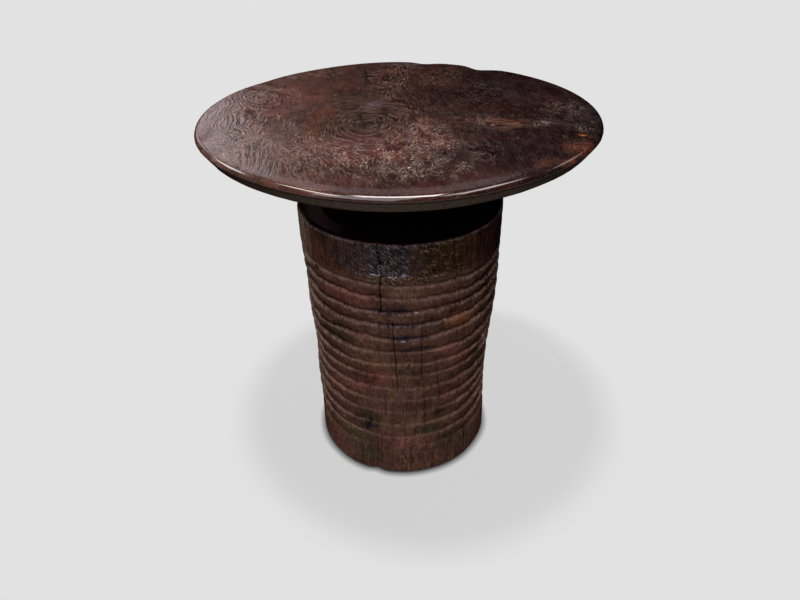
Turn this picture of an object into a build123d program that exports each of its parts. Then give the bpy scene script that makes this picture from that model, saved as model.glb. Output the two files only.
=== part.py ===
from build123d import *
import math
import os

# African drum table: a carved, hollow log drum that carries a round slab top on a dark neck.
# Millimetres. +Z is up, the floor is z = 0, and the origin lies on the drum's axis.
# The front of the table faces -Y. Angles are measured from +X towards +Y.

# Drum, carved from one log
DRUM_HEIGHT = 437.0         # foot face to rim
RIM_RADIUS = 154.0
WAIST_INSET = 12.0          # the drum's slimmest place is this much inside the rim
WAIST_LEVEL = 128.0         # height of that place above the foot face
SHOULDER_DROP = 108.0       # the drum has its full girth from this far below the rim
FOOT_INSET = 9.0
FOOT_ROUND = 6.0
RIM_ROUND = 2.5
LIP = 9.5                   # wall left outside the rebate at the mouth
LEDGE = 30.0                # ledge in the rebate that carries the mouth board

# Carved rings round the drum
FOOT_BAND = 59.0            # plain band above the foot
RIM_BAND_LEAST = 60.0       # plain band kept below the rim
RING_PITCH = 24.0
RING_DEPTH = 4.5
RING_LEDGE = 5.5            # height of the sloping ledge on top of each ring
RING_LEDGE_REACH = 0.8      # share of the depth that the ledge takes up

# Drying checks in the log: angle, height of the lower end above the foot face, length
CHECK_WIDTH = 2.4
CHECK_DEPTH = 8.0
CHECKS = [
    (-102.0, 341.0, 95.0),
    (-94.0, 143.0, 140.0),
    (-65.0, 128.0, 70.0),
]

# Natural hollow that runs up from the foot on the front left
FLUTE_ANGLE = -107.0
FLUTE_RADIUS = 26.0
FLUTE_DEPTH = 6.0
FLUTE_HEIGHT = 95.0

# Mouth board, let into the drum's rebate
BOARD_THICKNESS = 22.0
BOARD_SUNK = 5.0            # the board's face lies this far below the rim
BOARD_CLEARANCE = 0.75

# Neck between the board and the top
NECK_HEIGHT = 85.0
SHADOW_GAP = 25.0           # open ring between the neck and the drum's lip
NECK_CHAMFER = 1.5

# Tabletop slab
TOP_RADIUS = 278.5
CREST_HEIGHT = 7.5          # rounded part of the slab's edge, down to its widest line
SIDE_HEIGHT = 16.0          # leaning side below the widest line
SIDE_UNDERCUT = 11.5        # the side leans in by this much towards its lower arris
UNDERSIDE_DROP = 26.5       # bevelled underside, from the side down to the flat sole
SOLE_MARGIN = 60.0          # flat sole outside the neck
CREST_RADIUS = 7.0
OUTLINE_POINTS = 72

# Live edge: angle of each swell or dent, how far it stands out, half its width in degrees
EDGE_SWELLS = [
    (96.0, 9.0, 20.0),
    (80.0, -10.0, 4.0),
    (58.5, -17.0, 5.0),
    (142.0, -3.0, 7.0),
    (-90.0, 9.5, 30.0),
    (-55.0, -2.0, 26.0),
]

# Bolts that hold the top down, with washers and threaded inserts
BOLT_COUNT = 4
BOLT_CIRCLE_RADIUS = 80.0
BOLT_RADIUS = 4.0
BOLT_HOLE_CLEARANCE = 0.5
BOLT_HEAD_FLATS = 13.0
BOLT_HEAD_HEIGHT = 5.3
BOLT_GRIP = 14.0            # length of bolt inside the insert
WASHER_RADIUS = 12.0
WASHER_THICKNESS = 2.0
INSERT_WALL = 2.0
INSERT_LENGTH = 20.0
INSERT_FLANGE = 2.5         # flange outside the insert's body
INSERT_FLANGE_THICKNESS = 1.5
BLIND_RELIEF = 4.0          # room left past the end of an insert

# Wood screws
BOARD_SCREW_COUNT = 6
NECK_SCREW_COUNT = 4
NECK_SCREW_CIRCLE_RADIUS = 50.0
SCREW_RADIUS = 2.5
SCREW_HEAD_RADIUS = 4.8
SCREW_HEAD_HEIGHT = 3.2
SCREW_BITE = 30.0           # length of screw in the piece that it holds
SCREW_POINT = 4.0
PLUG_THICKNESS = 4.0

# Felt glides under the foot
GLIDE_COUNT = 4
GLIDE_RADIUS = 10.0
GLIDE_SUNK = 3.0
GLIDE_PROUD = 2.0

# Levels and radii that follow from the sizes above
FOOT_Z = GLIDE_PROUD
RIM_Z = FOOT_Z + DRUM_HEIGHT
BOARD_TOP_Z = RIM_Z - BOARD_SUNK
BOARD_BOTTOM_Z = BOARD_TOP_Z - BOARD_THICKNESS
SOLE_Z = BOARD_TOP_Z + NECK_HEIGHT
EDGE_Z = SOLE_Z + UNDERSIDE_DROP
WIDEST_Z = EDGE_Z + SIDE_HEIGHT
TOP_Z = WIDEST_Z + CREST_HEIGHT

MOUTH_RADIUS = RIM_RADIUS - LIP
BORE_RADIUS = MOUTH_RADIUS - LEDGE
FOOT_RADIUS = RIM_RADIUS - FOOT_INSET
WAIST_RADIUS = RIM_RADIUS - WAIST_INSET
NECK_RADIUS = MOUTH_RADIUS - SHADOW_GAP
SOLE_RADIUS = NECK_RADIUS + SOLE_MARGIN
BOARD_RADIUS = MOUTH_RADIUS - BOARD_CLEARANCE
GLIDE_CIRCLE_RADIUS = (BORE_RADIUS + FOOT_RADIUS - FOOT_ROUND) / 2
BOARD_SCREW_CIRCLE_RADIUS = (NECK_RADIUS + MOUTH_RADIUS) / 2

RING_COUNT = int((DRUM_HEIGHT - FOOT_BAND - RIM_BAND_LEAST) / RING_PITCH)
RINGS_BOTTOM_Z = FOOT_Z + FOOT_BAND


def on_circle(radius, count, first_angle=0.0):
    """Points evenly round a circle, as locations in the floor plane."""
    places = []
    for index in range(count):
        angle = math.radians(first_angle + 360.0 * index / count)
        places.append(Pos(radius * math.cos(angle), radius * math.sin(angle), 0))
    return places


def standing(radius, low, high):
    """A vertical cylinder on the Z axis between two heights."""
    return Pos(0, 0, (low + high) / 2) * Cylinder(radius, high - low)


def blend(start, end, share):
    """A smooth change from one value to the other as share goes from 0 to 1."""
    share = min(max(share, 0.0), 1.0)
    return start + (end - start) * (1 - math.cos(math.pi * share)) / 2


def drum_radius(z):
    """Outer radius of the drum, before carving, at a height above the floor."""
    waist_z = FOOT_Z + WAIST_LEVEL
    shoulder_z = RIM_Z - SHOULDER_DROP
    if z < waist_z:
        return blend(FOOT_RADIUS, WAIST_RADIUS, (z - FOOT_Z) / WAIST_LEVEL)
    return blend(WAIST_RADIUS, RIM_RADIUS, (z - waist_z) / (shoulder_z - waist_z))


def ring_edges(ring_bottom):
    """Section of one carved ring, from its lower groove up to its upper groove."""
    ring_top = ring_bottom + RING_PITCH
    ledge_z = ring_top - RING_LEDGE
    belly_z = ring_top - 2 * RING_LEDGE
    lower_groove = (drum_radius(ring_bottom) - RING_DEPTH, ring_bottom)
    belly = (drum_radius(belly_z), belly_z)
    ledge = (drum_radius(ledge_z) - RING_DEPTH * (1 - RING_LEDGE_REACH), ledge_z)
    upper_groove = (drum_radius(ring_top) - RING_DEPTH, ring_top)
    return [ThreePointArc(lower_groove, belly, ledge), Line(ledge, upper_groove)]


def drum_section():
    """Half section of the drum wall, with the rings outside and the rebate inside."""
    rings_top_z = RINGS_BOTTOM_Z + RING_COUNT * RING_PITCH
    foot_corner = (FOOT_RADIUS - FOOT_ROUND, FOOT_Z)
    foot_middle = (FOOT_RADIUS - FOOT_ROUND * (1 - math.sin(math.pi / 4)),
                   FOOT_Z + FOOT_ROUND * (1 - math.cos(math.pi / 4)))
    foot_side = (FOOT_RADIUS, FOOT_Z + FOOT_ROUND)
    first_groove = (drum_radius(RINGS_BOTTOM_Z) - RING_DEPTH, RINGS_BOTTOM_Z)
    band_low = (drum_radius(RINGS_BOTTOM_Z), RINGS_BOTTOM_Z - RING_DEPTH)
    last_groove = (drum_radius(rings_top_z) - RING_DEPTH, rings_top_z)
    band_high = (drum_radius(rings_top_z), rings_top_z + RING_DEPTH)
    rim_side = (RIM_RADIUS, RIM_Z - RIM_ROUND)
    rim_middle = (RIM_RADIUS - RIM_ROUND * (1 - math.sin(math.pi / 4)),
                  RIM_Z - RIM_ROUND * (1 - math.cos(math.pi / 4)))
    rim_corner = (RIM_RADIUS - RIM_ROUND, RIM_Z)

    edges = [
        Line((BORE_RADIUS, FOOT_Z), foot_corner),
        ThreePointArc(foot_corner, foot_middle, foot_side),
        Line(foot_side, band_low),
        Line(band_low, first_groove),
    ]
    for index in range(RING_COUNT):
        edges += ring_edges(RINGS_BOTTOM_Z + index * RING_PITCH)
    edges += [
        Line(last_groove, band_high),
        Line(band_high, rim_side),
        ThreePointArc(rim_side, rim_middle, rim_corner),
        Line(rim_corner, (MOUTH_RADIUS, RIM_Z)),
        Line((MOUTH_RADIUS, RIM_Z), (MOUTH_RADIUS, BOARD_BOTTOM_Z)),
        Line((MOUTH_RADIUS, BOARD_BOTTOM_Z), (BORE_RADIUS, BOARD_BOTTOM_Z)),
        Line((BORE_RADIUS, BOARD_BOTTOM_Z), (BORE_RADIUS, FOOT_Z)),
    ]
    return Plane.XZ * make_face(edges)


def drying_check(angle, low, length):
    """Wedge-shaped cutter for one drying check, pointing at the drum's axis."""
    outside = RIM_RADIUS + CHECK_DEPTH
    tip = drum_radius(FOOT_Z + low + length / 2) - CHECK_DEPTH
    half = CHECK_WIDTH / 2 * (outside - tip) / CHECK_DEPTH
    wedge = make_face(Polyline((tip, 0), (outside, half), (outside, -half), close=True))
    return Rot(0, 0, angle) * Pos(0, 0, FOOT_Z + low) * extrude(wedge, length)


def foot_flute():
    """Cone cutter for the natural hollow that fades out up from the foot."""
    start = FOOT_Z - FLUTE_HEIGHT / 10
    cone = Cone(FLUTE_RADIUS, 0, FOOT_Z + FLUTE_HEIGHT - start)
    reach = FOOT_RADIUS + FLUTE_RADIUS - FLUTE_DEPTH
    middle = (start + FOOT_Z + FLUTE_HEIGHT) / 2
    return Rot(0, 0, FLUTE_ANGLE) * Pos(reach, 0, middle) * cone


def drum_shell():
    shell = revolve(drum_section(), Axis.Z)
    for angle, low, length in CHECKS:
        shell -= drying_check(angle, low, length)
    shell -= foot_flute()
    for place in on_circle(BOARD_SCREW_CIRCLE_RADIUS, BOARD_SCREW_COUNT, 30):
        shell -= place * standing(SCREW_RADIUS, BOARD_BOTTOM_Z - SCREW_BITE, BOARD_BOTTOM_Z)
    for place in on_circle(GLIDE_CIRCLE_RADIUS, GLIDE_COUNT, 45):
        shell -= place * standing(GLIDE_RADIUS, FOOT_Z, FOOT_Z + GLIDE_SUNK)
    return shell


def outline_radius(angle):
    """Radius of the slab's live edge at an angle in degrees."""
    radius = TOP_RADIUS
    for centre, height, half_width in EDGE_SWELLS:
        away = (angle - centre + 180.0) % 360.0 - 180.0
        radius += height * math.exp(-(away / half_width) ** 2)
    return radius


def slab_outline(inset=0.0):
    """The slab's outline as one closed curve, centred on the drum by its extents."""
    full = []
    inner = []
    for index in range(OUTLINE_POINTS):
        angle = 360.0 * index / OUTLINE_POINTS
        turn = math.radians(angle)
        direction = Vector(math.cos(turn), math.sin(turn))
        full.append(direction * outline_radius(angle))
        inner.append(direction * (outline_radius(angle) - inset))
    middle = Spline(full, periodic=True).bounding_box().center()
    return Spline([point - middle for point in inner], periodic=True)


def tabletop():
    widest_face = Pos(0, 0, WIDEST_Z) * make_face(slab_outline())
    lower_face = Pos(0, 0, EDGE_Z) * make_face(slab_outline(SIDE_UNDERCUT))
    crown = extrude(widest_face, CREST_HEIGHT)
    crown = fillet(crown.edges().group_by(Axis.Z)[-1], CREST_RADIUS)
    side = loft([lower_face, widest_face], ruled=True)
    sole = Pos(0, 0, SOLE_Z) * make_face(Edge.make_circle(SOLE_RADIUS))
    underside = loft([sole, lower_face], ruled=True)
    top = crown + side + underside
    body_radius = BOLT_RADIUS + INSERT_WALL
    for place in on_circle(BOLT_CIRCLE_RADIUS, BOLT_COUNT, 45):
        top -= place * standing(body_radius, SOLE_Z, SOLE_Z + INSERT_LENGTH + BLIND_RELIEF)
        top -= place * standing(body_radius + INSERT_FLANGE, SOLE_Z, SOLE_Z + INSERT_FLANGE_THICKNESS)
    return top


def neck_block():
    neck = standing(NECK_RADIUS, BOARD_TOP_Z, SOLE_Z)
    ends = neck.edges().filter_by(GeomType.CIRCLE)
    neck = chamfer(ends, NECK_CHAMFER)
    for place in on_circle(BOLT_CIRCLE_RADIUS, BOLT_COUNT, 45):
        neck -= place * standing(BOLT_RADIUS + BOLT_HOLE_CLEARANCE, BOARD_TOP_Z, SOLE_Z)
    for place in on_circle(NECK_SCREW_CIRCLE_RADIUS, NECK_SCREW_COUNT):
        neck -= place * standing(SCREW_RADIUS, BOARD_TOP_Z, BOARD_TOP_Z + SCREW_BITE)
    return neck


def mouth_board():
    board = standing(BOARD_RADIUS, BOARD_BOTTOM_Z, BOARD_TOP_Z)
    for place in on_circle(BOLT_CIRCLE_RADIUS, BOLT_COUNT, 45):
        board -= place * standing(BOLT_RADIUS + BOLT_HOLE_CLEARANCE, BOARD_BOTTOM_Z, BOARD_TOP_Z)
    counterbore_z = BOARD_TOP_Z - PLUG_THICKNESS - SCREW_HEAD_HEIGHT
    for place in on_circle(BOARD_SCREW_CIRCLE_RADIUS, BOARD_SCREW_COUNT, 30):
        board -= place * standing(SCREW_RADIUS, BOARD_BOTTOM_Z, BOARD_TOP_Z)
        board -= place * standing(SCREW_HEAD_RADIUS, counterbore_z, BOARD_TOP_Z)
    for place in on_circle(NECK_SCREW_CIRCLE_RADIUS, NECK_SCREW_COUNT):
        board -= place * standing(SCREW_RADIUS, BOARD_BOTTOM_Z, BOARD_TOP_Z)
        board -= place * standing(SCREW_HEAD_RADIUS, BOARD_BOTTOM_Z,
                                  BOARD_BOTTOM_Z + SCREW_HEAD_HEIGHT)
    return board


def wood_screw(head_z, tip_z):
    """Screw from its head's bearing face to its point, up or down."""
    towards = math.copysign(1, tip_z - head_z)
    shank_end = tip_z - towards * SCREW_POINT
    shank = standing(SCREW_RADIUS, min(head_z, shank_end), max(head_z, shank_end))
    head_back = head_z - towards * SCREW_HEAD_HEIGHT
    head = standing(SCREW_HEAD_RADIUS, min(head_z, head_back), max(head_z, head_back))
    point = Cone(SCREW_RADIUS, 0, SCREW_POINT)
    if towards < 0:
        point = Rot(180, 0, 0) * point
    return shank + head + Pos(0, 0, (shank_end + tip_z) / 2) * point


def board_screws():
    head_z = BOARD_TOP_Z - PLUG_THICKNESS - SCREW_HEAD_HEIGHT
    screw = wood_screw(head_z, BOARD_BOTTOM_Z - SCREW_BITE)
    return [place * screw for place in on_circle(BOARD_SCREW_CIRCLE_RADIUS, BOARD_SCREW_COUNT, 30)]


def screw_plugs():
    plug = standing(SCREW_HEAD_RADIUS, BOARD_TOP_Z - PLUG_THICKNESS, BOARD_TOP_Z)
    return [place * plug for place in on_circle(BOARD_SCREW_CIRCLE_RADIUS, BOARD_SCREW_COUNT, 30)]


def neck_screws():
    screw = wood_screw(BOARD_BOTTOM_Z + SCREW_HEAD_HEIGHT, BOARD_TOP_Z + SCREW_BITE)
    return [place * screw for place in on_circle(NECK_SCREW_CIRCLE_RADIUS, NECK_SCREW_COUNT)]


def tabletop_bolts():
    seat_z = BOARD_BOTTOM_Z - WASHER_THICKNESS
    shank = standing(BOLT_RADIUS, seat_z, SOLE_Z + BOLT_GRIP)
    hexagon = RegularPolygon(BOLT_HEAD_FLATS / 2, 6, major_radius=False)
    head = Pos(0, 0, seat_z - BOLT_HEAD_HEIGHT) * extrude(hexagon, BOLT_HEAD_HEIGHT)
    return [place * (shank + head) for place in on_circle(BOLT_CIRCLE_RADIUS, BOLT_COUNT, 45)]


def bolt_washers():
    low = BOARD_BOTTOM_Z - WASHER_THICKNESS
    washer = standing(WASHER_RADIUS, low, BOARD_BOTTOM_Z)
    washer -= standing(BOLT_RADIUS + BOLT_HOLE_CLEARANCE, low, BOARD_BOTTOM_Z)
    return [place * washer for place in on_circle(BOLT_CIRCLE_RADIUS, BOLT_COUNT, 45)]


def threaded_inserts():
    body_radius = BOLT_RADIUS + INSERT_WALL
    insert = standing(body_radius, SOLE_Z, SOLE_Z + INSERT_LENGTH)
    insert += standing(body_radius + INSERT_FLANGE, SOLE_Z, SOLE_Z + INSERT_FLANGE_THICKNESS)
    insert -= standing(BOLT_RADIUS, SOLE_Z, SOLE_Z + INSERT_LENGTH)
    return [place * insert for place in on_circle(BOLT_CIRCLE_RADIUS, BOLT_COUNT, 45)]


def felt_glides():
    glide = standing(GLIDE_RADIUS, 0, FOOT_Z + GLIDE_SUNK)
    return [place * glide for place in on_circle(GLIDE_CIRCLE_RADIUS, GLIDE_COUNT, 45)]


def write(name, shape):
    """Write one sub-part. A list of like solids becomes one group."""
    if isinstance(shape, list):
        shape = Compound(children=shape)
    export_step(shape, f"parts/{name}.step")


os.makedirs("parts", exist_ok=True)
write("drum_shell", drum_shell())
write("mouth_board", mouth_board())
write("neck_block", neck_block())
write("tabletop", tabletop())
write("board_screws", board_screws())
write("screw_plugs", screw_plugs())
write("neck_screws", neck_screws())
write("tabletop_bolts", tabletop_bolts())
write("bolt_washers", bolt_washers())
write("threaded_inserts", threaded_inserts())
write("felt_glides", felt_glides())
print("height", TOP_Z, "rings", RING_COUNT, "bore radius", BORE_RADIUS)
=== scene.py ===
import math

import bpy
import numpy as np
from mathutils import Matrix, Vector


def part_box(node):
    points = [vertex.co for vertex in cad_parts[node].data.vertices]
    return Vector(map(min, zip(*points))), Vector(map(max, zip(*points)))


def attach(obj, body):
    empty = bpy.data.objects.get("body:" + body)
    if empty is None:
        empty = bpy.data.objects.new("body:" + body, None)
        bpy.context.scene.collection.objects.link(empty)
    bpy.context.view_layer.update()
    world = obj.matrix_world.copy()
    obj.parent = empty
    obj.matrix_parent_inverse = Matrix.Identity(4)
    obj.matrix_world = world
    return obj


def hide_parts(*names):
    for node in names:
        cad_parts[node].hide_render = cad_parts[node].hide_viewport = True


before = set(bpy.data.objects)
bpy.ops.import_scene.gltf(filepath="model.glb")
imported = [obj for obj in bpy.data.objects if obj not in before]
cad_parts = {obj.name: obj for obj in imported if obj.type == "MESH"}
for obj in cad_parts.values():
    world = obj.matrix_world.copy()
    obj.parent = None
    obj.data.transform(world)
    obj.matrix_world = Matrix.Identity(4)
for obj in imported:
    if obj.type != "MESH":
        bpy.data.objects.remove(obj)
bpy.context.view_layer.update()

# ---------------------------------------------------------------- sizes
# Shapes are worked out in millimetres and degrees, and meshes are made in metres.
# An angle is taken from +X towards +Y, so the front of the table is at -90.

MM = 0.001
FRONT = -90


def node_box(name):
    """Lowest and highest corners of a CAD node, in millimetres."""
    low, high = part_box(name)
    return np.array(low) / MM, np.array(high) / MM


drum_low, drum_high = node_box("drum_shell")
slab_low, slab_high = node_box("tabletop")
neck_low, neck_high = node_box("neck_block")
board_low, _ = node_box("mouth_board")

# The drum.
FOOT_Z = drum_low[2]
RIM_Z = drum_high[2]
RIM_RADIUS = (drum_high[0] - drum_low[0]) / 2
WAIST_RADIUS = RIM_RADIUS - 12
FOOT_RADIUS = RIM_RADIUS - 9
WAIST_Z = FOOT_Z + 128
SHOULDER_Z = RIM_Z - 108
FOOT_ROUND = 3.5
RIM_ROUND = 2.5
LIP = 9.5
MOUTH_RADIUS = RIM_RADIUS - LIP
LEDGE_Z = board_low[2]
BORE_RADIUS = MOUTH_RADIUS - 30

# The grooves between the carved rings, upwards, and the shape of one ring.
GROOVES = (61, 85.5, 110.5, 136.5, 159, 183.5, 208.5, 233, 259, 286, 309, 331, 355, 376)
BAND_Z = GROOVES[-1]
RING_DEPTH = 5.0
BELLY = 0.72
LEDGE = 0.85
LEDGE_FALL = 0.12
RING_ROWS = (0, 0.03, 0.09, 0.18, 0.29, 0.41, 0.53, 0.64, 0.75, 0.85, 0.92)
COLUMNS = 400
COLUMN_TURNS = np.arange(COLUMNS) * 360 / COLUMNS - 180

# Drying checks: a path of (height, angle) downwards, and the depth.
CHECKS = (
    (((440, -102.4), (400, -100.3), (364, -101.8), (334, -100.8)), 5.0),
    (((314, -95.6), (275, -94.5), (240, -94.3), (205, -93.8), (176, -92.5)), 2.2),
    (((308, -78.8), (262, -79.3), (204, -78.6)), 1.5),
    (((228, -70.0), (184, -67.5), (150, -65.2)), 1.5),
    (((440, -62.5), (410, -61.8), (376, -59.2)), 3.4),
    (((440, -44.6), (405, -44.0), (380, -43.0)), 3.0),
    (((168, -76.5), (96, -76.2)), 1.5),
    (((58, -45.5), (18, -44.6)), 2.4),
    (((440, -126.6), (378, -127.2)), 1.6),
    (((440, -117.2), (384, -116.6)), 1.4),
    (((440, -147.4), (386, -146.8)), 2.0),
    (((165, -101.4), (136, -101.7)), 1.3),
    (((114, -109.5), (88, -116.5)), 3.0),
    (((300, -133.0), (214, -132.0)), 1.3),
    (((440, 71.0), (330, 73.5), (230, 71.5), (150, 72.5)), 7.0),
    (((250, 128.0), (160, 125.5), (66, 126.5)), 4.0),
    (((440, 158.0), (352, 156.5)), 3.6),
    (((440, 18.5), (368, 16.5)), 3.2),
    (((330, 8.0), (250, 10.5), (188, 12.5)), 2.6),
    (((120, 38.0), (14, 36.0)), 3.4),
    (((210, 100.0), (96, 101.0)), 1.8),
)
CHECK_FADE = 12

# Columns of corners beside a check are pulled towards it: how many columns, and where each ends up.
REACH = 8
PULLED_STEPS = (0, 1, 2, 3, 5, REACH)
PULLED_TURNS = (0, 0.36, 0.95, 2.1, 4.4, REACH * 360 / COLUMNS)
CUT_STEPS = (0, 1, 2)
CUT_SHARES = (1, 0.15, 0)

# Knot holes and pits: height, angle, half height, half width in degrees, depth.
PITS = (
    (129, -101.6, 5, 0.9, 1.8),
    (369, -143.5, 5, 2.0, 2.4),
    (292, 48.0, 13, 2.6, 5.0),
    (182, 150.0, 9, 2.0, 3.5),
)

# The hollow in the foot.
FLUTE_ANGLE = -108.5
FLUTE_HALF_WIDTH = 4.6
FLUTE_DEPTH = 4.5
FLUTE_HEIGHT = 95

# The nick in the rim, and the sill that the front of the rim band stands back above.
NICK_ANGLE = -88.8
SILL_Z = 391

# Painted highlights, small bright glints on the ledges: height, angle, half width in degrees.
GLINTS = (
    (354, -89.8, 2.0), (282, -89.4, 2.6), (277, -84.0, 2.0), (217, -87.7, 2.8), (169, -93.0, 2.4),
    (329, -82.0, 2.0), (203, -86.0, 1.6), (254, -86.5, 1.6),
)

# Most patches on the log are stains; those marked below are painted light or painted shade.
# Patches on the log: height, angle, half height, half width in degrees, strength and linear colour.
LOG_BROWN = (0.072, 0.036, 0.026)
# The band's brown is darker than the log's: partly its own tone, partly painted shadow of the tabletop.
BAND_BROWN_AND_SHADOW = (0.040, 0.0185, 0.0115)
# A light brown for the mouth; painted shade darkens it except on the left, where it stands for light falling
# in.
INNER_BROWN = (0.120, 0.064, 0.068)
# Bluish tone on the front of the rim band: a painted sheen.
BAND_BLUE_SHEEN = (0.019, 0.0145, 0.019)
BAND_OLIVE = (0.019, 0.0115, 0.0055)
BAND_FOOT = (0.050, 0.029, 0.020)
MAROON = (0.096, 0.033, 0.027)
PINK = (0.120, 0.049, 0.042)
CLAY = (0.098, 0.052, 0.037)
# A dark tone; in the front grooves, the nick and a check it is painted shade.
DUSK_AND_GROOVE_SHADE = (0.017, 0.012, 0.021)
OLIVE = (0.032, 0.025, 0.013)
MURK = (0.018, 0.0115, 0.007)
ORANGE = (0.140, 0.056, 0.024)
# A painted sheen on the log's left edge.
LEFT_EDGE_SHEEN = (0.105, 0.078, 0.062)
# Near black on the right of the log: painted shade.
RIGHT_SIDE_SHADE = (0.010, 0.0045, 0.008)
LOG_STAINS_LIGHT_AND_SHADE = (
    # Painted sheen on the left edge.
    (250, -157, 170, 9, 0.60, LEFT_EDGE_SHEEN),
    # Light beige on the left of the band: painted light.
    (412, -158, 46, 12, 0.95, (0.215, 0.155, 0.112)),
    (396, -144, 34, 7, 0.60, (0.084, 0.037, 0.022)),
    (409, -119, 22, 8, 0.70, (0.026, 0.015, 0.015)),
    # Dark at the nick under the rim: painted shade.
    (430, -90, 7, 4, 0.80, DUSK_AND_GROOVE_SHADE),
    # Darker towards the right of the rim band.
    (392, -38, 60, 9, 0.60, (0.026, 0.0105, 0.008)),
    (346, -126, 11, 11, 0.70, MAROON),
    (352, -111, 8, 8, 0.70, MAROON),
    (360, -90, 8, 9, 0.70, (0.130, 0.072, 0.050)),
    (352, -72, 10, 11, 0.45, CLAY),
    # The darkest rows here lie in the front grooves: painted shade.
    (331, -98, 5, 15, 0.90, DUSK_AND_GROOVE_SHADE),
    (320, -92, 5, 13, 0.55, (0.092, 0.054, 0.036)),
    (306, -90, 5, 17, 0.90, DUSK_AND_GROOVE_SHADE),
    (298, -89, 5, 12, 0.60, (0.098, 0.056, 0.037)),
    (284, -88, 4, 12, 0.85, DUSK_AND_GROOVE_SHADE),
    (263, -83, 4, 10, 0.75, DUSK_AND_GROOVE_SHADE),
    (326, -58, 9, 11, 0.70, (0.036, 0.016, 0.011)),
    (302, -58, 9, 9, 0.60, ORANGE),
    (293, -48, 7, 7, 0.45, ORANGE),
    (248, -62, 12, 9, 0.70, PINK),
    (224, -52, 12, 9, 0.50, MAROON),
    (272, -132, 20, 12, 0.50, OLIVE),
    (238, -112, 14, 10, 0.50, CLAY),
    (201, -108, 20, 11, 0.65, MAROON),
    (173, -120, 15, 9, 0.75, PINK),
    (150, -138, 34, 10, 0.45, PINK),
    (216, -88, 10, 8, 0.45, OLIVE),
    (178, -84, 14, 12, 0.50, CLAY),
    (160, -58, 18, 9, 0.55, MAROON),
    (190, -38, 30, 9, 0.45, OLIVE),
    (106, -88, 18, 9, 0.60, CLAY),
    (114, -112, 17, 9, 0.95, OLIVE),
    # Dark in the check beside the flute: painted shade.
    (98, -115, 8, 4, 0.80, DUSK_AND_GROOVE_SHADE),
    (64, -122, 30, 10, 0.95, (0.044, 0.033, 0.020)),
    (32, -113, 22, 8, 0.90, (0.040, 0.030, 0.018)),
    (124, -66, 14, 7, 0.90, MURK),
    (92, -74, 12, 12, 0.90, OLIVE),
    (64, -61, 20, 10, 0.90, (0.036, 0.026, 0.015)),
    (76, -90, 16, 9, 0.50, PINK),
    (46, -42, 22, 10, 0.45, (0.070, 0.046, 0.032)),
    # Near black on the right: painted shade.
    (392, -14, 90, 22, 0.72, RIGHT_SIDE_SHADE),
    (300, -10, 80, 18, 0.80, RIGHT_SIDE_SHADE),
    (210, 160, 70, 26, 0.50, MAROON),
    (300, 60, 60, 30, 0.50, OLIVE),
    (120, 100, 60, 24, 0.50, CLAY),
    (260, 30, 60, 20, 0.50, DUSK_AND_GROOVE_SHADE),
    (90, 10, 50, 20, 0.50, MAROON),
)

# The tabletop: its outline swells at an angle, by a height and a half width in degrees.
TOP_Z = slab_high[2]
SOLE_Z = slab_low[2]
ROLL_WIDTH = 16
ROLL_FALL = 1.05
ROLL_TURN = 8
CREST_RADIUS = 7.5
CREST_TURN = 85
SIDE_HEIGHT = 16
SIDE_UNDERCUT = 11.5
TOP_RADIUS = 278.5
NECK_RADIUS = (neck_high[0] - neck_low[0]) / 2
SOLE_RADIUS = NECK_RADIUS + 60
EDGE_SWELLS = (
    (96, 9.0, 20), (80, -10.0, 4), (58.5, -17.0, 5), (142, -3.0, 7), (-90, 9.5, 30), (-55, -2.0, 26),
)
FACE_CELLS = 264

# ---------------------------------------------------------------- noise

LATTICE = 256
lattice = np.random.default_rng(11).uniform(-1, 1, (LATTICE, LATTICE))


def smoother(share):
    """From 0 to 1 without a kink at either end."""
    return share ** 3 * (share * (6 * share - 15) + 10)


def noise(u, v, seed=0, cells=LATTICE):
    """Smooth noise between -1 and 1, one lattice cell per unit. It repeats after that many cells of u."""
    u, v = np.broadcast_arrays(np.asarray(u, float), np.asarray(v, float))
    column = np.floor(u).astype(int)
    row = np.floor(v).astype(int)
    across = smoother(u - column)
    up = smoother(v - row)

    def corner(i, j):
        return lattice[((column + i) % cells + 37 * seed) % LATTICE, (row + j + 91 * seed) % LATTICE]

    low = corner(0, 0) * (1 - across) + corner(1, 0) * across
    high = corner(0, 1) * (1 - across) + corner(1, 1) * across
    return low * (1 - up) + high * up


def rough_noise(u, v, seed, layers=4):
    """Several layers of noise, each half as large and half as strong as the one before."""
    return sum(noise(u * 2 ** i, v * 2 ** i, seed + i) * 0.5 ** i for i in range(layers))


def around_noise(angle, height, width, tall, seed):
    """Noise on the drum that closes on itself, with cells of that width and height in millimetres."""
    cells = max(3, round(2 * math.pi * RIM_RADIUS / width))
    return noise(np.asarray(angle) / 360 * cells, np.asarray(height) / tall, seed, cells)


def flat_noise(x, y, width, length, seed):
    """Noise on the slab, with cells of that width and length in millimetres."""
    return noise(x / width, y / length, seed)


def layered(kind, x, y, *layers):
    """A sum of noises of one kind. Each has a strength, the size of its cells both ways, and a seed."""
    return sum(strength * kind(x, y, width, length, seed) for strength, width, length, seed in layers)


def ease(value, start, end):
    """0 at start and 1 at end, with a smooth way between."""
    share = np.clip((value - start) / (end - start), 0, 1)
    return share * share * (3 - 2 * share)


def hump(value, centre, half_width):
    """A bell that is 1 at the centre."""
    return np.exp(-(((value - centre) / half_width) ** 2))


def turn_between(angle, centre):
    """How far the angle is from the centre, between -180 and 180."""
    return (np.asarray(angle) - centre + 180) % 360 - 180


def hump_at(angle, centre, half_width):
    """A bell round the table that is 1 at that angle."""
    return hump(turn_between(angle, centre), 0, half_width)


# ---------------------------------------------------------------- meshes


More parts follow.
